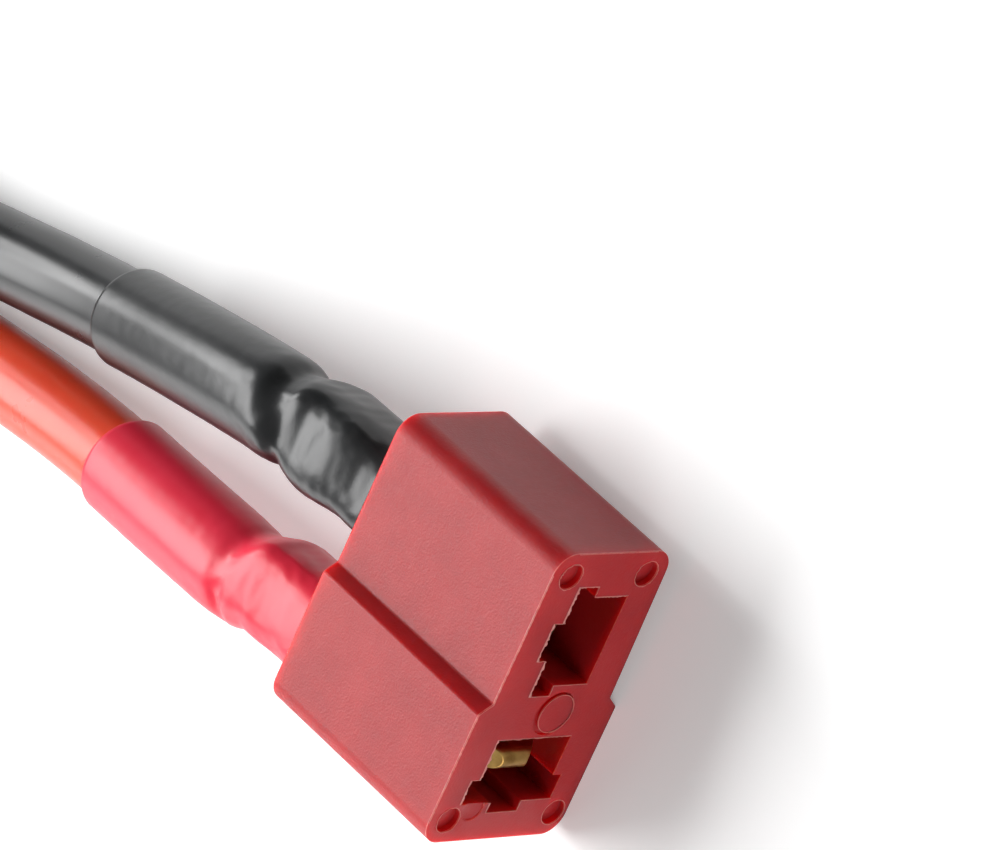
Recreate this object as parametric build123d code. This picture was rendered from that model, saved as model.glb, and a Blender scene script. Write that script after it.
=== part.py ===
from build123d import *
import os
from math import ceil, copysign, cos, pi, radians, sin, tan

# A battery plug socket with two soldered leads, in millimetres.
# The mating face looks along -Y and the leads run to +Y. The part lies on the
# broad face of its thick half, with the thin half, which holds the stem slot, at +X.

# Housing, a red moulding
HOUSING_WIDTH = 16.0            # over both halves, along X
HOUSING_LENGTH = 12.0           # mating face to back face
THICK_HALF_HEIGHT = 9.2         # the half with the crossbar slot
THIN_HALF_SETBACK = 0.67        # how far the other half is set in, on each broad face
THIN_HALF_TAPER = 0.3           # by which its lower face rises towards its end
STEP_FROM_MIDDLE = 0.27         # where the slope of the step starts, towards the thick half
STEP_SLOPE_WIDTH = 0.5
CORNER_RADIUS = 1.15            # the four long outer edges
STEP_EDGE_RADIUS = 0.2
BACK_EDGE_RADIUS = 0.18
LEAST_ARC = 0.02                # what the back edge leaves of the step's edges

# Slots in the mating face: a seat for the plate and its spring, with a wider
# channel for the blade beside it and a narrow relief behind the blade
SEAT_WIDTH = 4.95
SEAT_DEPTH = 2.25               # across the slot, plate and spring together
BLADE_CHANNEL_WIDTH = 6.1
BLADE_CHANNEL_DEPTH = 1.37
RELIEF_WIDTH = 2.1
RELIEF_DEPTH = 0.58
BACK_WALL = 1.6                 # left between the slots and the back face
STEM_SLOT_END_WALL = 1.85       # from the thin half's end to the blade channel
STEM_SEAT_RISE = 0.4            # of the plate's contact face over the middle plane
CROSSBAR_SLOT_END_WALL = 2.08   # from the thick half's end to the blade channel

# Ejector marks on the mating face
MARK_INSET = 1.25               # from both faces beside a corner
LOW_MARK_INSET = 0.9            # of one mark from the face that the plug lies on
MARK_RADIUS = 0.68
MARK_DEPTH = 0.35
WEB_MARK_RADIUS = 1.03           # level disc in the web, in a shallow round groove
WEB_MARK_OUTER_RADIUS = 1.22
WEB_MARK_DEPTH = 0.16
WEB_MARK_OFF_CENTRE = 0.14      # of the disc in its groove
WEB_MARK_DROP = 0.5             # below the middle plane
WEB_MARK_SIDE = 0.15            # from the middle of the web, towards the thin half
HALF_MARK_RADIUS = 0.65         # the faint mark that the crossbar channel cuts through
HALF_MARK_DEPTH = 0.08
HALF_MARK_RISE = 2.0            # above the middle plane

# Contact plates, springs and solder
PLATE_THICKNESS = 1.1
PLATE_SIDE_CLEARANCE = 0.06
PLATE_END_CLEARANCE = 0.05
CROSSBAR_PLATE_RECESS = 0.45    # nose behind the mating face
STEM_PLATE_RECESS = 1.9
PLATE_NOSE_CORNER = 1.6
TAB_WIDTH = 3.2
TAB_REACH = 5.0                 # behind the housing
TAB_CORNER = 0.5
TAB_HOLE_CLEARANCE = 0.04
SPRING_THICKNESS = 0.2
SPRING_WIDTH = 4.2
SPRING_START = 3.6              # behind the mating face
SPRING_END_CLEARANCE = 0.4      # before the end of the slot
SPRING_FOOT = 1.0
SPRING_CROWN = 1.4              # flat length that bears on the plate
SPRING_BEND = 0.8
SPRING_CLEARANCE = 0.02
SOLDER_EDGE_MARGIN = 0.2        # from the edges of the tab
SOLDER_START = 0.7              # behind the housing
SOLDER_RISE = 0.35              # above the middle of the core
SOLDER_SIDE = 0.05              # beside the middle of the core
SOLDER_FOOT_HEIGHT = 0.3

# Leads: stranded core, silicone insulation and shrunk sleeve
CORE_DIAMETER = 2.4
WIRE_DIAMETER = 4.5
WIRE_FIT = 0.02                 # between core, insulation and sleeve
CORE_START = 0.9                # behind the housing
INSULATION_START = 8.8          # behind the housing
STRIPPED_LENGTH = 5.0
TINNED_DIAMETER = 2.75          # of the stripped end, where solder coats the strands
TIN_START = 0.3                 # beyond the insulation
TIN_END_RADIUS = 0.25
SLEEVE_WALL = 0.32
SLEEVE_START = 0.15
RED_SLEEVE_LENGTH = 19.0
BLACK_SLEEVE_LENGTH = 23.0
SLEEVE_TAB_SLACK = 0.6          # beside the tab
SLEEVE_CORE_SLACK = 0.32        # over the core and under the tab
SLEEVE_SQUARENESS = 3.2         # exponent of its section over the tab
ELLIPSE_SQUARENESS = 2
NECK_SLACK = 0.9                # over the bare core, between tab and insulation
NECK_PLACE = 0.72               # share of the bare core's length, from the tab
SLEEVE_SECTION_POINTS = 20
SLEEVE_EASE_STEPS = 3
SLEEVE_WIRE_STEP = 2.0          # between its sections along the wire
RED_CORE_LIFT = 0.5             # solder between the tab and the core
BLACK_CORE_LIFT = 0.1
FIRST_BEND = 9.5                # straight run of both leads behind the housing

# Free route of each lead beyond its first bend
RED_ROUTE = [(-8.5, 31.7, 2.25), (-15.2, 67.3, 2.25), (-15.8, 102.85, 2.25)]
BLACK_ROUTE = [
    (-2.3, 30.2, 2.25),
    (-6.0, 45.0, 2.25),
    (-8.2, 73.5, 2.25),
    (-7.4, 101.75, 2.25)]
ARC_SHARE = 0.45                # of the shorter run beside a bend

# Places that follow from the sizes above
FRONT_Y = -(HOUSING_LENGTH + TAB_REACH) / 2
MIDDLE_Z = THICK_HALF_HEIGHT / 2
THIN_END_X = HOUSING_WIDTH / 2
THICK_END_X = -HOUSING_WIDTH / 2
SLOT_LENGTH = HOUSING_LENGTH - BACK_WALL

# In a contact's own frame X runs across the plate, Y towards the lead and Z from
# the plate to the blade, with the origin in the mating face on the plate's contact face
STEM_SEAT = Location((
    THIN_END_X - STEM_SLOT_END_WALL - BLADE_CHANNEL_WIDTH / 2,
    FRONT_Y,
    MIDDLE_Z + STEM_SEAT_RISE))
CROSSBAR_SEAT = Location((
    THICK_END_X + CROSSBAR_SLOT_END_WALL + BLADE_CHANNEL_DEPTH,
    FRONT_Y,
    MIDDLE_Z), (0, -90, 0))


# The mating face, with X and Z of the part as its axes
MATING_PLANE = Plane(origin=(0, FRONT_Y, 0), x_dir=(1, 0, 0), z_dir=(0, -1, 0))


def housing_profile():
    """Outline seen from the front: a thick and a thin half joined by sloping steps."""
    step_start = -STEP_FROM_MIDDLE
    step_end = step_start - STEP_SLOPE_WIDTH
    thin_top = THICK_HALF_HEIGHT - THIN_HALF_SETBACK
    corners = [
        (THIN_END_X, THIN_HALF_SETBACK + THIN_HALF_TAPER),
        (THIN_END_X, thin_top),
        (step_start, thin_top),
        (step_end, THICK_HALF_HEIGHT),
        (THICK_END_X, THICK_HALF_HEIGHT),
        (THICK_END_X, 0),
        (step_end, 0),
        (step_start, THIN_HALF_SETBACK)]
    profile = make_face(Polyline(*corners, close=True))
    sharp = profile.vertices().sort_by(Axis.X)
    profile = fillet(sharp[:2] + sharp[-2:], CORNER_RADIUS)
    steps = profile.vertices().sort_by(Axis.X)[4:-4]
    return fillet(steps, STEP_EDGE_RADIUS)


def slot_cutter():
    """Space for plate, spring and blade, in the contact's frame, open at the front."""
    half_seat = SEAT_WIDTH / 2
    half_channel = BLADE_CHANNEL_WIDTH / 2
    half_relief = RELIEF_WIDTH / 2
    relief_top = BLADE_CHANNEL_DEPTH + RELIEF_DEPTH
    right_side = [
        (half_seat, -SEAT_DEPTH),
        (half_seat, 0),
        (half_channel, 0),
        (half_channel, BLADE_CHANNEL_DEPTH),
        (half_relief, BLADE_CHANNEL_DEPTH),
        (half_relief, relief_top)]
    left_side = [(-x, z) for x, z in reversed(right_side)]
    outline = Plane.XZ * make_face(Polyline(*right_side, *left_side, close=True))
    tab_hole = Box(
        TAB_WIDTH + 2 * TAB_HOLE_CLEARANCE,
        HOUSING_LENGTH,
        PLATE_THICKNESS + 2 * TAB_HOLE_CLEARANCE,
        align=(Align.CENTER, Align.MIN, Align.CENTER))
    return extrude(outline, -SLOT_LENGTH) + Pos(0, SLOT_LENGTH / 2, -PLATE_THICKNESS / 2) * tab_hole


def ejector_marks():
    """Shallow discs and a groove that the mould's pins left in the mating face."""
    thin_x = THIN_END_X - MARK_INSET
    thick_x = THICK_END_X + MARK_INSET
    corners = [
        (thin_x, THIN_HALF_SETBACK + THIN_HALF_TAPER + MARK_INSET),
        (thin_x, THICK_HALF_HEIGHT - THIN_HALF_SETBACK - MARK_INSET),
        (thick_x, LOW_MARK_INSET),
        (thick_x, THICK_HALF_HEIGHT - MARK_INSET)]
    stem_channel_x = THIN_END_X - STEM_SLOT_END_WALL - BLADE_CHANNEL_WIDTH
    crossbar_seat_x = THICK_END_X + CROSSBAR_SLOT_END_WALL + BLADE_CHANNEL_DEPTH + SEAT_DEPTH
    web = (stem_channel_x + crossbar_seat_x) / 2 + WEB_MARK_SIDE, MIDDLE_Z - WEB_MARK_DROP
    half = THICK_END_X + CROSSBAR_SLOT_END_WALL - RELIEF_DEPTH / 2, MIDDLE_Z + HALF_MARK_RISE
    marks = [(corner, Circle(MARK_RADIUS), MARK_DEPTH) for corner in corners]
    groove = Circle(WEB_MARK_OUTER_RADIUS) - Pos(0, -WEB_MARK_OFF_CENTRE) * Circle(WEB_MARK_RADIUS)
    marks.append((web, groove, WEB_MARK_DEPTH))
    marks.append((half, Circle(HALF_MARK_RADIUS), HALF_MARK_DEPTH))
    return [extrude(MATING_PLANE * Pos(*place) * shape, -depth) for place, shape, depth in marks]


def housing():
    body = extrude(MATING_PLANE * housing_profile(), -HOUSING_LENGTH)
    back = body.faces().sort_by(Axis.Y)[-1]
    body = fillet(back.edges(), min(BACK_EDGE_RADIUS, STEP_EDGE_RADIUS - LEAST_ARC))
    for seat in (STEM_SEAT, CROSSBAR_SEAT):
        body -= seat * slot_cutter()
    for mark in ejector_marks():
        body -= mark
    return body


def contact_plate(recess):
    """Flat plate with a round nose, shoulders on the back wall and a solder tab."""
    half_plate = SEAT_WIDTH / 2 - PLATE_SIDE_CLEARANCE
    half_tab = TAB_WIDTH / 2
    shoulder = SLOT_LENGTH - PLATE_END_CLEARANCE
    tab_end = HOUSING_LENGTH + TAB_REACH
    right_side = [
        (half_plate, recess),
        (half_plate, shoulder),
        (half_tab, shoulder),
        (half_tab, tab_end)]
    left_side = [(-x, y) for x, y in reversed(right_side)]
    plan = make_face(Polyline(*right_side, *left_side, close=True))
    plan = chamfer(plan.vertices().sort_by(Axis.Y)[:2], PLATE_NOSE_CORNER)
    plan = chamfer(plan.vertices().sort_by(Axis.Y)[-2:], TAB_CORNER)
    blank = extrude(plan, -PLATE_THICKNESS)
    nose_radius = PLATE_THICKNESS / 2
    nose_roll = Rot(0, 90, 0) * Cylinder(nose_radius, SEAT_WIDTH)
    shank = Box(
        SEAT_WIDTH, tab_end, PLATE_THICKNESS, align=(Align.CENTER, Align.MIN, Align.CENTER))
    return Pos(0, recess + nose_radius, -nose_radius) * (shank + nose_roll) & blank


def leaf_spring():
    """Bowed strip with its feet on the floor of the slot and its crown on the plate."""
    foot_z = -SEAT_DEPTH + SPRING_CLEARANCE + SPRING_THICKNESS / 2
    crown_z = -PLATE_THICKNESS - SPRING_CLEARANCE - SPRING_THICKNESS / 2
    end = SLOT_LENGTH - SPRING_END_CLEARANCE
    middle = (SPRING_START + end) / 2
    line = FilletPolyline(
        (SPRING_START, foot_z),
        (SPRING_START + SPRING_FOOT, foot_z),
        (middle - SPRING_CROWN / 2, crown_z),
        (middle + SPRING_CROWN / 2, crown_z),
        (end - SPRING_FOOT, foot_z),
        (end, foot_z),
        radius=SPRING_BEND)
    strip = trace(line, line_width=SPRING_THICKNESS)
    return Plane.YZ * extrude(strip, SPRING_WIDTH / 2, both=True)


def solder_fillet(core_lift):
    """Solder between the tab and the lower part of the core."""
    half_width = TAB_WIDTH / 2 - SOLDER_EDGE_MARGIN
    core_radius = CORE_DIAMETER / 2
    core_z = core_lift + core_radius
    top = core_z + SOLDER_RISE
    right_side = [
        (half_width, 0),
        (half_width, SOLDER_FOOT_HEIGHT),
        (core_radius + SOLDER_SIDE, core_z),
        (core_radius, top)]
    left_side = [(-x, z) for x, z in reversed(right_side)]
    section = make_face(Polyline(*right_side, *left_side, close=True))
    start = HOUSING_LENGTH + SOLDER_START
    length = TAB_REACH - SOLDER_START - TAB_CORNER
    mound = extrude(Plane.XZ.offset(-start) * section, -length)
    core = Cylinder(core_radius, 2 * TAB_REACH, align=(Align.CENTER, Align.CENTER, Align.MIN))
    return mound - Pos(0, HOUSING_LENGTH, core_z) * Rot(-90, 0, 0) * core


def lead_path(seat, core_lift, route):
    """Straight runs joined by tangent arcs, from the housing's back face to the lead's tip."""
    axis_z = core_lift + CORE_DIAMETER / 2
    start = (seat * Pos(0, HOUSING_LENGTH, axis_z)).position
    bend = (seat * Pos(0, HOUSING_LENGTH + FIRST_BEND, axis_z)).position
    points = [start, bend] + [Vector(*point) for point in route]
    radii = []
    for before, corner, after in zip(points, points[1:], points[2:]):
        arriving = corner - before
        leaving = after - corner
        half_turn = radians(arriving.get_angle(leaving)) / 2
        radii.append(ARC_SHARE * min(arriving.length, leaving.length) / tan(half_turn))
    path = Wire(FilletPolyline(*points, radius=radii).edges())
    print("bend radii", [round(radius, 1) for radius in radii], "length", round(path.length, 2))
    return path


def stretch(path, start, end):
    """The part of a lead's path between two distances from the housing."""
    return path.trim(start / path.length, end / path.length)


def tube(path, diameter, bore=0.0):
    section = Plane(origin=path @ 0, z_dir=path % 0) * Circle(diameter / 2)
    solid = sweep(section, path=path)
    if bore:
        solid -= sweep(Plane(origin=path @ 0, z_dir=path % 0) * Circle(bore / 2), path=path)
    return solid


def tinned_end(path):
    """Solder-coated strands at the lead's tip, a little thicker than the bare core."""
    coat = Cylinder(
        TINNED_DIAMETER / 2,
        STRIPPED_LENGTH - TIN_START,
        align=(Align.CENTER, Align.CENTER, Align.MIN))
    coat = fillet(coat.edges().sort_by(Axis.Z)[0], TIN_END_RADIUS)
    return Plane(origin=path @ 1, z_dir=-(path % 1)) * coat


def sleeve_keys(core_lift, length):
    """Where the sleeve changes shape: distance, steps to the next key, shift towards the tab,
    half width, half height and squareness."""
    tab_half_width = TAB_WIDTH / 2 + SLEEVE_TAB_SLACK + SLEEVE_WALL
    tab_half_height = (PLATE_THICKNESS + core_lift + CORE_DIAMETER) / 2 + SLEEVE_CORE_SLACK + SLEEVE_WALL
    tab_shift = (PLATE_THICKNESS + core_lift) / 2
    tab_shape = (tab_shift, tab_half_width, tab_half_height, SLEEVE_SQUARENESS)
    neck_radius = CORE_DIAMETER / 2 + NECK_SLACK + SLEEVE_WALL
    neck = TAB_REACH + NECK_PLACE * (INSULATION_START - TAB_REACH)
    wire_radius = WIRE_DIAMETER / 2 + WIRE_FIT + SLEEVE_WALL
    on_wire = INSULATION_START - SLEEVE_WALL
    wire_steps = ceil((length - on_wire) / SLEEVE_WIRE_STEP)
    return [
        (SLEEVE_START, 1, *tab_shape),
        (TAB_REACH + SLEEVE_WALL, SLEEVE_EASE_STEPS, *tab_shape),
        (neck, SLEEVE_EASE_STEPS, 0, neck_radius, neck_radius, ELLIPSE_SQUARENESS),
        (on_wire, wire_steps, 0, wire_radius, wire_radius, ELLIPSE_SQUARENESS),
        (length, 1, 0, wire_radius, wire_radius, ELLIPSE_SQUARENESS)]


def sleeve_stations(keys):
    """Sections of the sleeve, eased from each key to the next."""
    stations = []
    for key, following in zip(keys, keys[1:]):
        steps = key[1]
        for step in range(steps):
            share = step / steps
            eased = (1 - cos(pi * share)) / 2
            distance = key[0] + share * (following[0] - key[0])
            shape = [a + eased * (b - a) for a, b in zip(key[2:], following[2:])]
            stations.append((distance, *shape))
    last = keys[-1]
    stations.append((last[0], *last[2:]))
    return stations


def rounded_outline(half_width, half_height, squareness):
    """Closed curve between an ellipse and a rectangle."""
    points = []
    for index in range(SLEEVE_SECTION_POINTS):
        angle = 2 * pi * index / SLEEVE_SECTION_POINTS
        x = copysign(abs(cos(angle)) ** (2 / squareness), cos(angle)) * half_width
        y = copysign(abs(sin(angle)) ** (2 / squareness), sin(angle)) * half_height
        points.append((x, y))
    return make_face(Spline(*points, periodic=True))


def shrunk_skin(path, stations, across, inset, overrun):
    """Solid inside the sleeve's outline, set in by inset and longer by overrun at each end."""
    faces = []
    for number, (distance, shift, half_width, half_height, squareness) in enumerate(stations):
        if number == 0:
            distance -= overrun
        if number == len(stations) - 1:
            distance += overrun
        along = path.tangent_at(distance / path.length)
        plane = Plane(origin=path.position_at(distance / path.length), x_dir=across, z_dir=along)
        outline = rounded_outline(half_width - inset, half_height - inset, squareness)
        faces.append(plane * Pos(0, shift) * outline)
    return loft(faces, ruled=True)


def shrink_sleeve(path, core_lift, seat, length):
    """Heat-shrunk sleeve over the tab, the bare core and the start of the insulation."""
    across = seat.x_axis.direction
    stations = sleeve_stations(sleeve_keys(core_lift, length))
    outside = shrunk_skin(path, stations, across, 0, 0)
    inside = shrunk_skin(path, stations, across, SLEEVE_WALL, SLEEVE_START / 2)
    return outside - inside


def contact_set(colour, pole, seat, plate_recess, core_lift, sleeve_length, route):
    """Every piece of one pole, from its contact plate to the tip of its lead."""
    path = lead_path(seat, core_lift, route)
    tip = path.length
    core = tube(stretch(path, CORE_START, tip - TIN_END_RADIUS), CORE_DIAMETER)
    insulation = tube(
        stretch(path, INSULATION_START, tip - STRIPPED_LENGTH),
        WIRE_DIAMETER,
        CORE_DIAMETER + 2 * WIRE_FIT)
    length = tip - STRIPPED_LENGTH - INSULATION_START
    ring = pi * (WIRE_DIAMETER ** 2 - (CORE_DIAMETER + 2 * WIRE_FIT) ** 2) / 4
    print(colour, "insulation volume", round(insulation.volume, 2), "section times length",
          round(ring * length, 2))
    return {
        "terminal_" + pole: seat * contact_plate(plate_recess),
        "spring_" + pole: seat * leaf_spring(),
        "solder_" + pole: seat * solder_fillet(core_lift),
        "conductor_" + colour: core + tinned_end(path),
        "wire_" + colour: insulation,
        "sleeve_" + colour: shrink_sleeve(path, core_lift, seat, sleeve_length)}


pieces = {"housing": housing()}
pieces.update(contact_set(
    "red",
    "positive",
    CROSSBAR_SEAT,
    CROSSBAR_PLATE_RECESS,
    RED_CORE_LIFT,
    RED_SLEEVE_LENGTH,
    RED_ROUTE))
pieces.update(contact_set(
    "black",
    "negative",
    STEM_SEAT,
    STEM_PLATE_RECESS,
    BLACK_CORE_LIFT,
    BLACK_SLEEVE_LENGTH,
    BLACK_ROUTE))

os.makedirs("parts", exist_ok=True)
for name, solid in pieces.items():
    solid.label = name
    export_step(solid, f"parts/{name}.step")
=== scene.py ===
import bpy
import math
import random
from mathutils import Matrix, Vector, noise


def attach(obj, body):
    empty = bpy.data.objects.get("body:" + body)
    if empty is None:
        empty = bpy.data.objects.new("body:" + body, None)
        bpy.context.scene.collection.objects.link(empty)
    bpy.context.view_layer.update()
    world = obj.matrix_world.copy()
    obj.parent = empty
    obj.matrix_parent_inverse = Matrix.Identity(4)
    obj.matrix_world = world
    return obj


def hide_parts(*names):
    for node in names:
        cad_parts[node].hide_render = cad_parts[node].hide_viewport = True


# A battery plug socket with a red and a black lead. Sizes in the dictionaries are in
# millimetres, apart from the studio's, and the meshes are in metres.

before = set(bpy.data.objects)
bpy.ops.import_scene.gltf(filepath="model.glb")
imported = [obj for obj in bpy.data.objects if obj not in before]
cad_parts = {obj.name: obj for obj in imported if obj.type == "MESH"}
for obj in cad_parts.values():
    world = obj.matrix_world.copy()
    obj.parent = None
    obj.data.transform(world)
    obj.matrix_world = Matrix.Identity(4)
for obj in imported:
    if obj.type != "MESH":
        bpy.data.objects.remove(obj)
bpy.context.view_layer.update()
mm = 0.001
random.seed(9)
turn = 2 * math.pi
front = -8.5         # the housing's front face
weldGap = 0.0005     # corners closer than this are one


# Small helpers

def deselectAll():
    bpy.ops.object.select_all(action="DESELECT")


def workOn(piece):
    deselectAll()
    piece.select_set(True)
    bpy.context.view_layer.objects.active = piece


def editAll(piece):
    workOn(piece)
    bpy.ops.object.mode_set(mode="EDIT")
    bpy.ops.mesh.select_all(action="SELECT")


def leaveEdit():
    bpy.ops.object.mode_set(mode="OBJECT")


def addPiece(name, mesh):
    piece = bpy.data.objects.new(name, mesh)
    bpy.context.scene.collection.objects.link(piece)
    return piece


def finish(piece, material, replaced=None):
    piece.data.materials.clear()
    piece.data.materials.append(material)
    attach(piece, "root")
    if replaced:
        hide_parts(replaced)


def copyOfNode(node, name):
    piece = addPiece(name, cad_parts[node].data.copy())
    editAll(piece)
    bpy.ops.mesh.remove_doubles(threshold=weldGap * mm)
    leaveEdit()
    return piece


def smooth(piece, degrees):
    workOn(piece)
    bpy.ops.object.shade_smooth_by_angle(angle=math.radians(degrees))


# Moulded and pressed pieces: the solid's own shape with its sharp edges rounded. Angles in degrees.

rounding = {"flatWithin": 0.5, "sharpFrom": 35, "smoothTo": 40, "segments": 2}


def roundEdges(piece, width):
    editAll(piece)
    bpy.ops.mesh.dissolve_limited(angle_limit=math.radians(rounding["flatWithin"]))
    bpy.ops.mesh.select_all(action="DESELECT")
    bpy.ops.mesh.select_mode(type="EDGE")
    bpy.ops.mesh.edges_select_sharp(sharpness=math.radians(rounding["sharpFrom"]))
    bpy.ops.mesh.bevel(offset=width * mm, segments=rounding["segments"], affect="EDGES", clamp_overlap=True)
    leaveEdit()


def roundedCopy(node, name, material, width):
    piece = copyOfNode(node, name)
    roundEdges(piece, width)
    smooth(piece, rounding["smoothTo"])
    weights = piece.modifiers.new("evenShading", "WEIGHTED_NORMAL")
    weights.keep_sharp = True
    bpy.ops.object.modifier_apply(modifier=weights.name)
    finish(piece, material, node)


# Materials

def newMaterial(name):
    material = bpy.data.materials.new(name)
    material.use_nodes = True
    tree = material.node_tree
    return material, tree, tree.nodes["Principled BSDF"]


def addNode(tree, kind, **values):
    made = tree.nodes.new(kind)
    for key, value in values.items():
        if key in made.inputs:
            made.inputs[key].default_value = value
        else:
            setattr(made, key, value)
    return made


def addNoise(tree, source, scale, detail=3.0, roughness=0.55):
    made = addNode(tree, "ShaderNodeTexNoise", Scale=scale, Detail=detail, Roughness=roughness)
    tree.links.new(source, made.inputs["Vector"])
    return made.outputs["Fac"]


def addRamp(tree, source, stops):
    made = tree.nodes.new("ShaderNodeValToRGB")
    elements = made.color_ramp.elements
    while len(elements) < len(stops):
        elements.new(0.5)
    for element, (place, colour) in zip(elements, stops):
        element.position = place
        element.color = (*colour, 1)
    tree.links.new(source, made.inputs["Fac"])
    return made.outputs["Color"]


def addRange(tree, source, low, high):
    made = tree.nodes.new("ShaderNodeMapRange")
    made.inputs["To Min"].default_value = low
    made.inputs["To Max"].default_value = high
    tree.links.new(source, made.inputs["Value"])
    return made.outputs["Result"]


def addMath(tree, operation, first, second):
    made = addNode(tree, "ShaderNodeMath", operation=operation)
    for socket, value in zip(made.inputs, (first, second)):
        if isinstance(value, (int, float)):
            socket.default_value = value
        else:
            tree.links.new(value, socket)
    return made.outputs["Value"]


def addMix(tree, share, first, second):
    made = addNode(tree, "ShaderNodeMix", data_type="RGBA")
    firstColour, secondColour, mixedColour = made.inputs[6], made.inputs[7], made.outputs[2]
    tree.links.new(share, made.inputs["Factor"])
    tree.links.new(first, firstColour)
    secondColour.default_value = (*second, 1)
    return mixedColour


def addBump(tree, height, distance, strength, before=None):
    made = addNode(tree, "ShaderNodeBump", Distance=distance * mm, Strength=strength)
    tree.links.new(height, made.inputs["Height"])
    if before:
        tree.links.new(before, made.inputs["Normal"])
    return made.outputs["Normal"]


def setGlow(shader, weight, colour, reach):
    shader.inputs["Subsurface Weight"].default_value = weight
    shader.inputs["Subsurface Radius"].default_value = colour
    shader.inputs["Subsurface Scale"].default_value = reach * mm


dark, pale = (0, 0, 0), (1, 1, 1)
mouldedNylon = {
    "deep": (0.42, 0.008, 0.012), "main": (0.46, 0.010, 0.014), "dusty": (0.50, 0.016, 0.020),
    "toneStops": (0.3, 0.5, 0.72), "roughness": (0.38, 0.50), "specular": 0.34,
    "blotchScale": 350, "blotchDepth": 0.01, "blotchStrength": 0.4,
    "grainScale": 9000, "grainDepth": 0.016, "grainStrength": 0.8, "speckScale": 3500,
    "glow": 1.0, "glowReach": 2.0, "glowColour": (1.0, 0.10, 0.07),
    # edge is a painted highlight, laid as speckles on the rounded edges just behind the front face
    "edge": (0.80, 0.32, 0.28), "edgeHighlightDepth": 0.08, "edgeHighlightStops": (0.03, 0.12, 0.75, 0.9),
    "edgeHighlightShare": (0.0, 0.95)}
# the flash fins take a much paler red than the housing: a painted glint where the thin fins catch the light
flashNylonGlint = {
    **mouldedNylon,
    "deep": (0.66, 0.18, 0.16), "main": (0.71, 0.22, 0.19), "dusty": (0.78, 0.29, 0.26),
    "blotchScale": 3000, "glow": 0.3, "glowReach": 0.2}


def makeNylon(name, look):
    material, tree, shader = newMaterial(name)
    place = tree.nodes.new("ShaderNodeTexCoord").outputs["Object"]
    blotch = addNoise(tree, place, look["blotchScale"], 4)
    speck = addNoise(tree, place, look["speckScale"], 2)
    grain = addNoise(tree, place, look["grainScale"], 2)
    tones = (look["deep"], look["main"], look["dusty"])
    tone = addRamp(tree, blotch, list(zip(look["toneStops"], tones)))
    # the rounded edges round the front face get a painted highlight: a paler colour in speckled patches, in
    # a strip just behind it
    split = tree.nodes.new("ShaderNodeSeparateXYZ")
    tree.links.new(place, split.inputs[0])
    behind = addMath(tree, "SUBTRACT", split.outputs["Y"], front * mm)
    band = addRamp(tree, addMath(tree, "DIVIDE", behind, look["edgeHighlightDepth"] * mm),
                   list(zip(look["edgeHighlightStops"], (dark, pale, pale, dark))))
    glintSpecks = addRange(tree, speck, *look["edgeHighlightShare"])
    share = addMath(tree, "MULTIPLY", band, glintSpecks)
    tree.links.new(addMix(tree, share, tone, look["edge"]), shader.inputs["Base Color"])
    tree.links.new(addRange(tree, speck, *look["roughness"]), shader.inputs["Roughness"])
    swell = addBump(tree, blotch, look["blotchDepth"], look["blotchStrength"])
    tree.links.new(addBump(tree, grain, look["grainDepth"], look["grainStrength"], swell),
                   shader.inputs["Normal"])
    shader.inputs["Specular IOR Level"].default_value = look["specular"]
    setGlow(shader, look["glow"], look["glowColour"], look["glowReach"])
    return material


metals = {
    "contactBrass": {
        "low": (0.20, 0.11, 0.03), "high": (0.46, 0.29, 0.09), "roughness": (0.26, 0.42),
        "scale": 600, "scratch": 0.003},
    "springSteel": {
        "low": (0.40, 0.40, 0.39), "high": (0.66, 0.66, 0.64), "roughness": (0.22, 0.36),
        "scale": 900, "scratch": 0.002},
    "solderTin": {
        "low": (0.42, 0.43, 0.44), "high": (0.72, 0.73, 0.74), "roughness": (0.20, 0.45),
        "scale": 500, "scratch": 0.02},
    "tinnedStrands": {
        "low": (0.48, 0.46, 0.43), "high": (0.78, 0.76, 0.72), "roughness": (0.18, 0.38),
        "scale": 700, "scratch": 0.004}}
metalLook = {"stainStops": (0.35, 0.6), "streaksToStains": 8, "scratchStrength": 0.6}


def makeMetal(name):
    look = metals[name]
    material, tree, shader = newMaterial(name)
    place = tree.nodes.new("ShaderNodeTexCoord").outputs["Object"]
    stain = addNoise(tree, place, look["scale"], 5)
    streak = addNoise(tree, place, look["scale"] * metalLook["streaksToStains"], 2)
    tone = addRamp(tree, stain, list(zip(metalLook["stainStops"], (look["low"], look["high"]))))
    tree.links.new(tone, shader.inputs["Base Color"])
    tree.links.new(addRange(tree, streak, *look["roughness"]), shader.inputs["Roughness"])
    tree.links.new(addBump(tree, streak, look["scratch"], metalLook["scratchStrength"]),
                   shader.inputs["Normal"])
    shader.inputs["Metallic"].default_value = 1
    return material


skins = {
    "redSilicone": {
        "low": (0.83, 0.070, 0.026), "high": (0.88, 0.084, 0.033), "roughness": (0.26, 0.30),
        "blotchScale": 260, "specular": 0.38, "glow": 0.5},
    "blackSilicone": {
        "low": (0.014, 0.015, 0.016), "high": (0.024, 0.025, 0.026), "roughness": (0.24, 0.34),
        "blotchScale": 260, "specular": 0.42},
    "redSleeve": {
        "low": (0.88, 0.027, 0.062), "high": (0.93, 0.034, 0.078), "roughness": (0.30, 0.38),
        "blotchScale": 400, "specular": 0.38, "grainDepth": 0.002},
    "blackSleeve": {
        "low": (0.014, 0.015, 0.016), "high": (0.026, 0.027, 0.028), "roughness": (0.25, 0.36),
        "blotchScale": 400, "specular": 0.38, "grainDepth": 0.005}}
skinLook = {
    "toneStops": (0.3, 0.7), "grainScale": 4500, "grainStrength": 0.7,
    "glowReach": 1.0, "glowColour": (1.0, 0.2, 0.15)}


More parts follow.
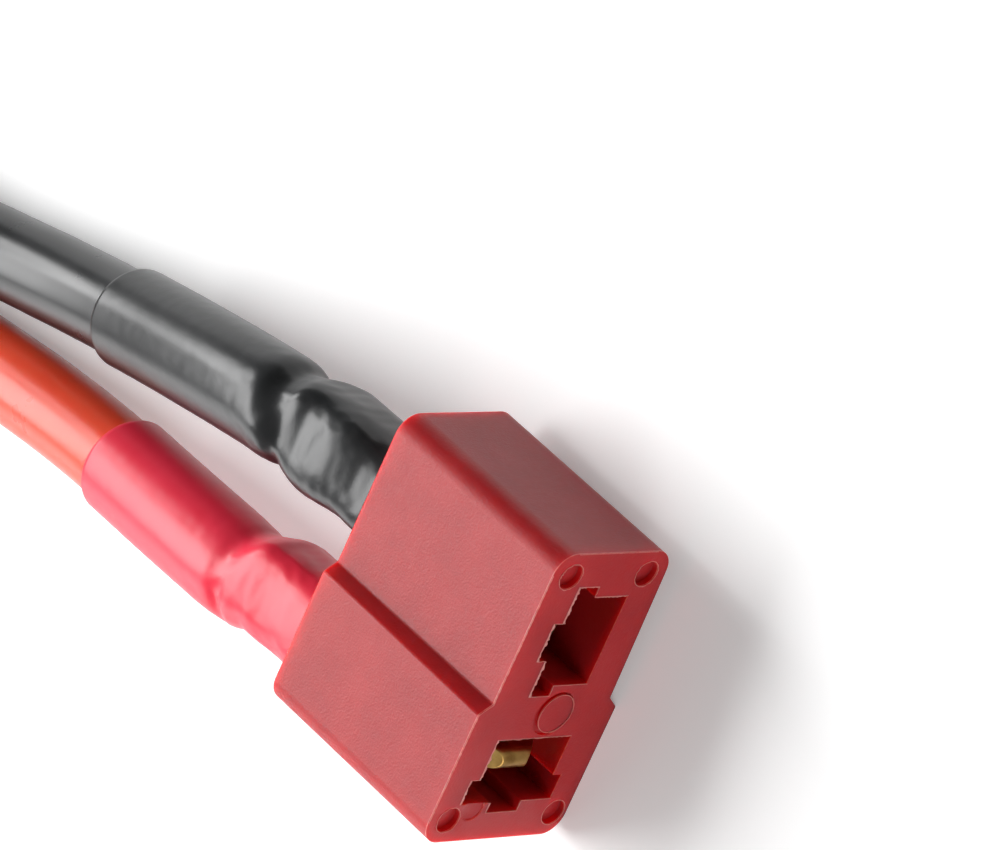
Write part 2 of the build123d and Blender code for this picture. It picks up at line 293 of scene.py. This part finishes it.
def makeSkin(name):
    # the wires are smooth and the red one lets light in, and only the sleeves have a grain
    look = skins[name]
    material, tree, shader = newMaterial(name)
    place = tree.nodes.new("ShaderNodeTexCoord").outputs["Object"]
    blotch = addNoise(tree, place, look["blotchScale"], 4)
    tone = addRamp(tree, blotch, list(zip(skinLook["toneStops"], (look["low"], look["high"]))))
    tree.links.new(tone, shader.inputs["Base Color"])
    tree.links.new(addRange(tree, blotch, *look["roughness"]), shader.inputs["Roughness"])
    shader.inputs["Specular IOR Level"].default_value = look["specular"]
    if "grainDepth" in look:
        grain = addNoise(tree, place, skinLook["grainScale"], 3)
        tree.links.new(addBump(tree, grain, look["grainDepth"], skinLook["grainStrength"]),
                       shader.inputs["Normal"])
    if "glow" in look:
        setGlow(shader, look["glow"], skinLook["glowColour"], skinLook["glowReach"])
    return material


print("materials")
nylon = makeNylon("mouldedNylon", mouldedNylon)
flashGlintNylon = makeNylon("flashNylonGlint", flashNylonGlint)
brass = makeMetal("contactBrass")
steel = makeMetal("springSteel")
tin = makeMetal("solderTin")
strands = makeMetal("tinnedStrands")


# Camera, where the photograph was taken from

camera = {
    "place": (141.7, -197.1, 252.8),
    "aim": (8.75, 1.1, 4.6),
    "top": (0.8392, 0.5436, -0.0154),     # direction that points up in the picture
    "lens": 266.6, "sensor": 36,          # millimetres
    "clip": (0.01, 20)}                   # metres


def setCamera():
    data = bpy.data.cameras.new("camera")
    data.lens = camera["lens"]
    data.sensor_width = camera["sensor"]
    data.clip_start, data.clip_end = camera["clip"]
    viewer = bpy.data.objects.new("camera", data)
    bpy.context.scene.collection.objects.link(viewer)
    place = Vector(camera["place"]) * mm
    ahead = (Vector(camera["aim"]) * mm - place).normalized()
    right = ahead.cross(Vector(camera["top"])).normalized()
    top = right.cross(ahead)
    turned = Matrix((right, top, -ahead)).transposed().to_4x4()
    viewer.matrix_world = Matrix.Translation(place) @ turned
    bpy.context.scene.camera = viewer


print("camera")
setCamera()


# Leads: one smooth line each, and everything on a lead follows it

red = {
    "route": [(-6.25, 3.5, 4.6), (-6.25, 8, 4.6), (-6.7, 14, 4.5), (-8.3, 31.7, 2.25),
              (-15, 67.3, 2.25), (-15.8, 102.85, 2.25)],
    "across": (0, 0, 1), "coreLift": 0.5, "sleeveLength": 19,
    "dents": [
        {"at": 7.4, "side": 328, "spread": 30, "near": 28, "slant": 0, "length": 0.45, "depth": 0.30},
        {"at": 5.0, "side": 112, "spread": 50, "near": 28, "slant": 0, "length": 2.6, "depth": 0.36},
        {"at": 4.0, "side": 305, "spread": 60, "near": 28, "slant": 0, "length": 3.0, "depth": 0.10}],
    "seed": 11}
black = {
    "route": [(3.1, 3.5, 6.3), (3.1, 8, 6.3), (2.6, 13, 6.2), (-2.3, 30.2, 2.25),
              (-6.2, 45, 2.25), (-8.2, 73.5, 2.25), (-7.4, 101.75, 2.25)],
    "across": (1, 0, 0), "coreLift": 0.1, "sleeveLength": 23,
    "dents": [
        {"at": 6.85, "side": 298, "spread": 75, "near": 350, "slant": 0.8, "length": 0.8, "depth": 0.44},
        {"at": 7.7, "side": 28, "spread": 45, "near": 298, "slant": 0, "length": 0.7, "depth": 0.25},
        {"at": 6.9, "side": 208, "spread": 40, "near": 298, "slant": 0, "length": 0.45, "depth": 0.28},
        {"at": 4.8, "side": 208, "spread": 45, "near": 298, "slant": 0, "length": 1.8, "depth": -0.34},
        {"at": 3.5, "side": 28, "spread": 45, "near": 298, "slant": 0, "length": 3.0, "depth": 0.14},
        {"at": 3.6, "side": 300, "spread": 50, "near": 298, "slant": 0, "length": 1.0, "depth": -0.15},
        {"at": -0.3, "side": 300, "spread": 60, "near": 298, "slant": 0, "length": 2.0, "depth": 0.32}],
    "seed": 23}
lead = {
    "core": 2.4, "wire": 4.5, "fit": 0.02, "insulationStart": 8.8, "stripped": 5.0,
    "tinned": 2.75, "tinStart": 0.3, "coreStart": 0.9, "sleeveWall": 0.32, "sleeveStart": 0.15,
    "tabReach": 5.0, "tabHalfWidth": 1.6, "plate": 1.1, "tabSlack": 0.6, "coreSlack": 0.32,
    "squareness": 3.2, "neckSlack": 1.03, "neckPlace": 0.72, "curveSteps": 80}


class LeadLine:
    def __init__(self, name, settings):
        curve = bpy.data.curves.new(name, "CURVE")
        curve.dimensions = "3D"
        curve.resolution_u = lead["curveSteps"]
        spline = curve.splines.new("NURBS")
        spline.points.add(len(settings["route"]) - 1)
        for point, place in zip(spline.points, settings["route"]):
            point.co = (*(Vector(place) * mm), 1)
        spline.order_u = 3          # quadratic
        spline.use_endpoint_u = True
        guide = addPiece(name, curve)
        drawn = bpy.data.meshes.new_from_object(guide)
        self.points = [vertex.co.copy() for vertex in drawn.vertices]
        bpy.data.objects.remove(guide)
        self.reached = [0.0]
        for before, after in zip(self.points, self.points[1:]):
            self.reached.append(self.reached[-1] + (after - before).length / mm)
        self.length = self.reached[-1]
        self.across = Vector(settings["across"])

    def at(self, distance):
        index = 1
        while index < len(self.reached) - 1 and self.reached[index] < distance:
            index += 1
        before, after = self.points[index - 1], self.points[index]
        run = self.reached[index] - self.reached[index - 1]
        share = (distance - self.reached[index - 1]) / run
        along = (self.points[min(index + 1, len(self.points) - 1)]
                 - self.points[max(index - 2, 0)]).normalized()
        across = (self.across - along * self.across.dot(along)).normalized()
        return before.lerp(after, share), along, across, along.cross(across)

    def ring(self, distance, outline):
        centre, along, across, side = self.at(distance)
        return [centre + (across * x + side * y) * mm for x, y in outline]


uvRun = 10          # millimetres of lead to one unit of its UV map


def skinOver(name, rings, wrap, stations):
    # wrap joins the last ring to the first, and otherwise the ends are closed flat
    count = len(rings[0])
    points = [point for ring in rings for point in ring]
    faces = []
    last = len(rings) if wrap else len(rings) - 1
    for row in range(last):
        here, there = row * count, ((row + 1) % len(rings)) * count
        for i in range(count):
            j = (i + 1) % count
            faces.append((here + i, here + j, there + j, there + i))
    if not wrap:
        faces.append(tuple(reversed(range(count))))
        faces.append(tuple((len(rings) - 1) * count + i for i in range(count)))
    mesh = bpy.data.meshes.new(name)
    mesh.from_pydata([tuple(p) for p in points], [], faces)
    uvMap = mesh.uv_layers.new(name="alongAndAround")
    for polygon in mesh.polygons:
        for loop, vertex in zip(polygon.loop_indices, polygon.vertices):
            row, i = divmod(vertex, count)
            uvMap.data[loop].uv = (i / count, stations[row] / uvRun)
    piece = addPiece(name, mesh)
    editAll(piece)
    bpy.ops.mesh.normals_make_consistent(inside=False)
    leaveEdit()
    return piece


def steps(start, end, size):
    count = max(1, math.ceil((end - start) / size))
    return [start + (end - start) * i / count for i in range(count + 1)]


def circle(radius, count=96):
    return [(radius * math.cos(turn * i / count), radius * math.sin(turn * i / count))
            for i in range(count)]


wireLook = {
    "step": 0.8, "edge": 0.16, "edgeInset": 0.112, "waver": 0.025, "waverScale": 0.35, "smoothTo": 50}


def makeWire(name, line, seed):
    look = wireLook
    start, end = lead["insulationStart"], line.length - lead["stripped"]
    outer, inner = lead["wire"] / 2, lead["core"] / 2 + lead["fit"]
    stations = [start] + steps(start + look["edge"], end - look["edge"], look["step"]) + [end]
    rings = []
    for station in stations:
        waver = noise.noise(Vector((seed, station * look["waverScale"], 0))) * look["waver"]
        inset = look["edgeInset"] if station in (start, end) else 0
        rings.append(line.ring(station, circle(outer + waver - inset)))
    for station in reversed(stations):
        rings.append(line.ring(station, circle(inner)))
    piece = skinOver(name, rings, True, stations + stations[::-1])
    smooth(piece, look["smoothTo"])
    return piece


coreLook = {
    "strandsRound": 19, "pointsToStrand": 8, "pitch": 24, "step": 0.5,
    "groove": 0.11, "tinGroove": 0.045, "grooveShape": 1.5,
    "tinFade": 0.3, "tinStep": 0.2, "tipRadius": 0.25, "tipRings": (0.25, 0.12, 0.04, 0),
    "smoothTo": 40}


def makeCore(name, line):
    look = coreLook
    strandsRound, fade, tip = look["strandsRound"], look["tinFade"], look["tipRadius"]
    count = strandsRound * look["pointsToStrand"]
    start, end = lead["coreStart"], line.length
    tinStart = end - lead["stripped"] + lead["tinStart"]
    stations = (steps(start, tinStart - fade, look["step"]) + steps(tinStart, end - fade, look["tinStep"])
                + [end - back for back in look["tipRings"]])
    rings = []
    for station in stations:
        tinned = min(1, max(0, (station - tinStart + fade) / fade))
        radius = lead["core"] / 2 + tinned * (lead["tinned"] - lead["core"]) / 2
        groove = look["groove"] + tinned * (look["tinGroove"] - look["groove"])
        rounded = max(0, tip - (end - station)) / tip
        radius -= tip * (1 - math.sqrt(max(0, 1 - rounded ** 2)))
        outline = []
        for i in range(count):
            angle = turn * i / count
            twist = turn * station / look["pitch"]
            lobe = abs(math.sin(strandsRound * (angle - twist) / 2))
            reach = radius - groove * (1 - lobe) ** look["grooveShape"]
            outline.append((reach * math.cos(angle), reach * math.sin(angle)))
        rings.append(line.ring(station, outline))
    piece = skinOver(name, rings, False, stations)
    smooth(piece, look["smoothTo"])
    return piece


def sleeveKeys(settings):
    wall = lead["sleeveWall"]
    core = lead["core"]
    lift = settings["coreLift"]
    halfWidth = lead["tabHalfWidth"] + lead["tabSlack"] + wall
    halfHeight = (lead["plate"] + lift + core) / 2 + lead["coreSlack"] + wall
    tab = ((lead["plate"] + lift) / 2, halfWidth, halfHeight, lead["squareness"])
    neck = core / 2 + lead["neckSlack"] + wall
    neckAt = lead["tabReach"] + lead["neckPlace"] * (lead["insulationStart"] - lead["tabReach"])
    onWire = lead["wire"] / 2 + lead["fit"] + wall
    return [
        (lead["sleeveStart"], *tab),
        (lead["tabReach"] + wall, *tab),
        (neckAt, 0, neck, neck, 2),
        (lead["insulationStart"] - wall, 0, onWire, onWire, 2),
        (settings["sleeveLength"], 0, onWire, onWire, 2)]


def shapeAt(keys, distance):
    for key, following in zip(keys, keys[1:]):
        if distance <= following[0]:
            break
    share = min(1, max(0, (distance - key[0]) / (following[0] - key[0])))
    eased = (1 - math.cos(math.pi * share)) / 2
    return [a + eased * (b - a) for a, b in zip(key[1:], following[1:])]


def dentAt(dents, distance, angle):
    # a dent goes across the lead, and its slant moves it along on the near side
    depth = 0
    for dent in dents:
        off = (angle - math.radians(dent["side"]) + math.pi) % turn - math.pi
        reach = math.exp(-(off / math.radians(dent["spread"])) ** 2)
        middle = dent["at"] + dent["slant"] * math.cos(angle - math.radians(dent["near"]))
        depth += dent["depth"] * reach * math.exp(-((distance - middle) / dent["length"]) ** 2)
    return depth


sleeveLook = {
    "around": 120, "step": 0.16, "edge": 0.12, "edgeInset": 0.072,
    "lump": {"height": 0.10, "round": 1.4, "along": 0.55},
    "fine": {"height": 0.02, "round": 4, "along": 1.7, "onWire": 0.3},
    "fade": 0.8, "smoothTo": 50}


def sleeveOutline(settings, keys, station, inset):
    look = sleeveLook
    shift, halfWidth, halfHeight, squareness = shapeAt(keys, station)
    overTab = 1 / (1 + math.exp((station - lead["insulationStart"]) / look["fade"]))
    points = []

    def lumps(kind, c, s):
        place = Vector((c * kind["round"], s * kind["round"], station * kind["along"] + settings["seed"]))
        return kind["height"] * noise.noise(place)

    for i in range(look["around"]):
        angle = turn * i / look["around"]
        c, s = math.cos(angle), math.sin(angle)
        x = math.copysign(abs(c) ** (2 / squareness), c) * halfWidth
        y = math.copysign(abs(s) ** (2 / squareness), s) * halfHeight
        change = overTab * lumps(look["lump"], c, s)
        change += (look["fine"]["onWire"] + overTab) * lumps(look["fine"], c, s)
        change -= dentAt(settings["dents"], station, angle) + inset
        grown = 1 + change / math.hypot(x, y)
        points.append((x * grown, shift + y * grown))
    return points


def makeSleeve(name, line, settings):
    look = sleeveLook
    keys = sleeveKeys(settings)
    start, end = lead["sleeveStart"], settings["sleeveLength"]
    stations = [start] + steps(start + look["edge"], end - look["edge"], look["step"]) + [end]
    rings = []
    for station in stations:
        inset = look["edgeInset"] if station in (start, end) else 0
        rings.append(line.ring(station, sleeveOutline(settings, keys, station, inset)))
    for station in reversed(stations):
        rings.append(line.ring(station, sleeveOutline(settings, keys, station, lead["sleeveWall"])))
    piece = skinOver(name, rings, True, stations + stations[::-1])
    smooth(piece, look["smoothTo"])
    return piece


def makeLead(colour, settings):
    line = LeadLine(colour + "Line", settings)
    core = makeCore(colour + "Core", line)
    finish(core, strands, "conductor_" + colour)
    sleeve = makeSleeve(colour + "Sleeve", line, settings)
    finish(sleeve, makeSkin(colour + "Sleeve"), "sleeve_" + colour)
    wire = makeWire(colour + "Wire", line, settings["seed"])
    finish(wire, makeSkin(colour + "Silicone"), "wire_" + colour)
    print(colour, "lead", round(line.length, 1), "mm")


print("leads")
makeLead("red", red)
makeLead("black", black)


# Housing

housing = {"edge": 0.07}

print("housing")
roundedCopy("housing", "mouldedHousing", nylon, housing["edge"])


# Ragged flash that the mould left along the slots, round its pin marks and on the front edge

flash = {
    "step": 0.11, "thickness": 0.03, "back": 0.02, "tearScale": 3.1, "tearEven": 0.6, "rimPoints": 48,
    "runs": [
        {"name": "stemTop", "into": (0, -0.4, -1), "reach": (0.02, 0.24), "points": [
            (6.15, 6.37), (4.15, 6.37), (4.15, 6.95), (2.05, 6.95), (2.05, 6.37), (0.05, 6.37)]},
        {"name": "stemEnd", "into": (-1, -0.5, 0), "reach": (0.01, 0.13), "points": [
            (6.15, 6.37), (6.15, 5.0), (5.575, 5.0), (5.575, 2.75)]},
        {"name": "stemWeb", "into": (0.3, -1, 0), "reach": (0.01, 0.05), "points": [
            (0.05, 6.37), (0.05, 5.0), (0.625, 5.0), (0.625, 2.75)]},
        {"name": "crossbarTop", "into": (0, -0.4, -1), "reach": (0.01, 0.18), "points": [
            (-2.3, 7.075), (-4.55, 7.075), (-4.55, 7.65), (-5.92, 7.65)]},
        {"name": "crossbarRelief", "into": (0, -0.4, -1), "reach": (0.02, 0.16), "points": [
            (-5.92, 5.65), (-6.5, 5.65)]},
        {"name": "crossbarWeb", "into": (-1, -0.6, 0), "reach": (0.01, 0.09), "points": [
            (-2.3, 7.075), (-2.3, 2.125)]},
        {"name": "crossbarEnd", "into": (0.3, -1, 0), "reach": (0.01, 0.05), "points": [
            (-6.5, 5.65), (-6.5, 3.55), (-5.92, 3.55), (-5.92, 1.55)]},
        {"name": "topEdge", "into": (0, -1, 0.5), "reach": (0.0, 0.09), "points": [
            (6.85, 8.49), (-0.29, 8.49), (-0.79, 9.16), (-6.85, 9.16)]},
        {"name": "endEdge", "into": (0.5, -1, 0), "reach": (0.0, 0.10), "points": [
            (7.96, 7.35), (7.96, 2.1)]}],
    "rims": [
        {"name": "markA", "centre": (6.75, 7.28), "radius": 0.70, "reach": (0.0, 0.13)},
        {"name": "markB", "centre": (6.75, 2.22), "radius": 0.70, "reach": (0.0, 0.10)},
        {"name": "markC", "centre": (-6.75, 7.95), "radius": 0.70, "reach": (0.0, 0.08)},
        {"name": "markD", "centre": (-6.75, 0.90), "radius": 0.70, "reach": (0.0, 0.03)},
        {"name": "markWeb", "centre": (-0.975, 3.96), "radius": 1.05, "reach": (0.03, 0.045)}],
    "seed": 5}


def raggedStrip(name, path, into, reach):
    # one row of quads along the path, whose free edge is torn unevenly
    deselectAll()
    bpy.ops.mesh.primitive_grid_add(x_subdivisions=len(path) - 1, y_subdivisions=1, size=2)
    strip = bpy.context.object
    strip.name = name
    away = Vector(into).normalized()
    for vertex in strip.data.vertices:
        index = round((vertex.co.x + 1) / 2 * (len(path) - 1))
        x, z = path[index]
        place = Vector((x, front + flash["back"], z))
        if vertex.co.y > 0:
            swing = noise.noise(Vector((x * flash["tearScale"], z * flash["tearScale"], flash["seed"])))
            even = flash["tearEven"]
            tear = even * (0.5 + 0.5 * swing) + (1 - even) * random.random()
            place += away * (flash["back"] + reach[0] + tear ** 2 * (reach[1] - reach[0]))
        vertex.co = place * mm
    solid = strip.modifiers.new("wall", "SOLIDIFY")
    solid.thickness = flash["thickness"] * mm
    solid.offset = 0
    workOn(strip)
    bpy.ops.object.modifier_apply(modifier=solid.name)
    editAll(strip)
    bpy.ops.mesh.remove_doubles(threshold=weldGap * mm)
    bpy.ops.mesh.normals_make_consistent(inside=False)
    leaveEdit()
    return strip


def makeFlash():
    strips = []
    for run in flash["runs"]:
        path = []
        for before, after in zip(run["points"], run["points"][1:]):
            length = math.dist(before, after)
            for distance in steps(0, length, flash["step"])[:-1]:
                share = distance / length
                path.append(tuple(a + share * (b - a) for a, b in zip(before, after)))
        path.append(run["points"][-1])
        strips.append(raggedStrip(run["name"], path, run["into"], run["reach"]))
    for rim in flash["rims"]:
        x, z = rim["centre"]
        path = [(x + a, z + b) for a, b in circle(rim["radius"], flash["rimPoints"])]
        path.append(path[0])
        strips.append(raggedStrip(rim["name"], path, (0, -1, 0), rim["reach"]))
    deselectAll()
    for strip in strips:
        strip.select_set(True)
    bpy.context.view_layer.objects.active = strips[0]
    bpy.ops.object.join()
    piece = bpy.context.object
    piece.name = "mouldFlash"
    bpy.ops.object.transform_apply(location=True, rotation=True, scale=True)
    finish(piece, flashGlintNylon)


print("flash")
makeFlash()


# Contacts: name, material, slot and rounded edge of each solid

contacts = {
    "terminal_positive": ("positivePlate", brass, "contact_brass", 0.06),
    "terminal_negative": ("negativePlate", brass, "contact_brass", 0.06),
    "spring_positive": ("positiveSpring", steel, "spring_steel", 0.03),
    "spring_negative": ("negativeSpring", steel, "spring_steel", 0.03),
    "solder_positive": ("positiveSolder", tin, "solder_tin", 0.12),
    "solder_negative": ("negativeSolder", tin, "solder_tin", 0.12)}

print("contacts")
for node, (name, material, slot, edge) in contacts.items():
    roundedCopy(node, name, material, edge)


# Floor and light. The floor's size, the lamps' places and sizes are in metres, their power in watts.

studio = {
    "floor": 3.0, "floorSeen": 0.92, "floorBounce": 0.6, "floorGlow": 0.25,
    "floorRoughness": 0.9, "floorSpecular": 0.1,
    "brightSide": (-0.72, 0.55, 0.42), "brightest": 0.20, "dimmest": 0.06, "fade": (-0.35, 0.85),
    "lamps": {
        "keyLamp": {"from": (-0.22, 0.69, 0.68), "far": 0.55, "size": (0.38, 0.27), "power": 3.3},
        "backLamp": {"from": (0.12, 0.90, 0.40), "far": 0.55, "size": (0.20, 0.12), "power": 1.0},
        "leftLamp": {"from": (-0.82, 0.52, 0.24), "far": 0.60, "size": (0.36, 0.26), "power": 0.9},
        "frontLamp": {"from": (-0.45, -0.87, 0.20), "far": 0.70, "size": (0.40, 0.24), "power": 2.8}}}


def makeFloor():
    deselectAll()
    bpy.ops.mesh.primitive_plane_add(size=studio["floor"], location=(0, 0, 0))
    floor = bpy.context.object
    floor.name = "floor"
    material, tree, shader = newMaterial("palePaper")
    path = tree.nodes.new("ShaderNodeLightPath")
    seen = path.outputs["Is Camera Ray"]
    for kind in ("Is Glossy Ray", "Is Transmission Ray"):
        seen = addMath(tree, "MAXIMUM", seen, path.outputs[kind])
    tone = addRamp(tree, seen, [
        (0.0, (studio["floorBounce"],) * 3), (1.0, (studio["floorSeen"],) * 3)])
    tree.links.new(tone, shader.inputs["Base Color"])
    shader.inputs["Emission Color"].default_value = (*pale, 1)
    tree.links.new(addRange(tree, seen, 0, studio["floorGlow"]), shader.inputs["Emission Strength"])
    shader.inputs["Roughness"].default_value = studio["floorRoughness"]
    shader.inputs["Specular IOR Level"].default_value = studio["floorSpecular"]
    floor.data.materials.append(material)


def makeWorld():
    world = bpy.data.worlds.new("studio")
    world.use_nodes = True
    bpy.context.scene.world = world
    tree = world.node_tree
    background = tree.nodes["Background"]
    background.inputs["Color"].default_value = (*pale, 1)
    towards = addNode(tree, "ShaderNodeVectorMath", operation="DOT_PRODUCT")
    towards.inputs[1].default_value = Vector(studio["brightSide"]).normalized()
    tree.links.new(tree.nodes.new("ShaderNodeTexCoord").outputs["Generated"], towards.inputs[0])
    fade = addNode(tree, "ShaderNodeMapRange", interpolation_type="SMOOTHSTEP")
    fade.inputs["From Min"].default_value, fade.inputs["From Max"].default_value = studio["fade"]
    fade.inputs["To Min"].default_value = studio["dimmest"]
    fade.inputs["To Max"].default_value = studio["brightest"]
    tree.links.new(towards.outputs["Value"], fade.inputs["Value"])
    tree.links.new(fade.outputs["Result"], background.inputs["Strength"])


def makeLamps():
    for name, lamp in studio["lamps"].items():
        data = bpy.data.lights.new(name, "AREA")
        data.shape = "RECTANGLE"
        data.size, data.size_y = lamp["size"]
        data.energy = lamp["power"]
        made = bpy.data.objects.new(name, data)
        bpy.context.scene.collection.objects.link(made)
        place = Vector(lamp["from"]).normalized() * lamp["far"]
        made.location = place
        made.rotation_euler = (-place).to_track_quat("-Z", "Y").to_euler()


print("studio")
makeFloor()
makeWorld()
makeLamps()
bpy.context.scene.view_settings.view_transform = "Standard"
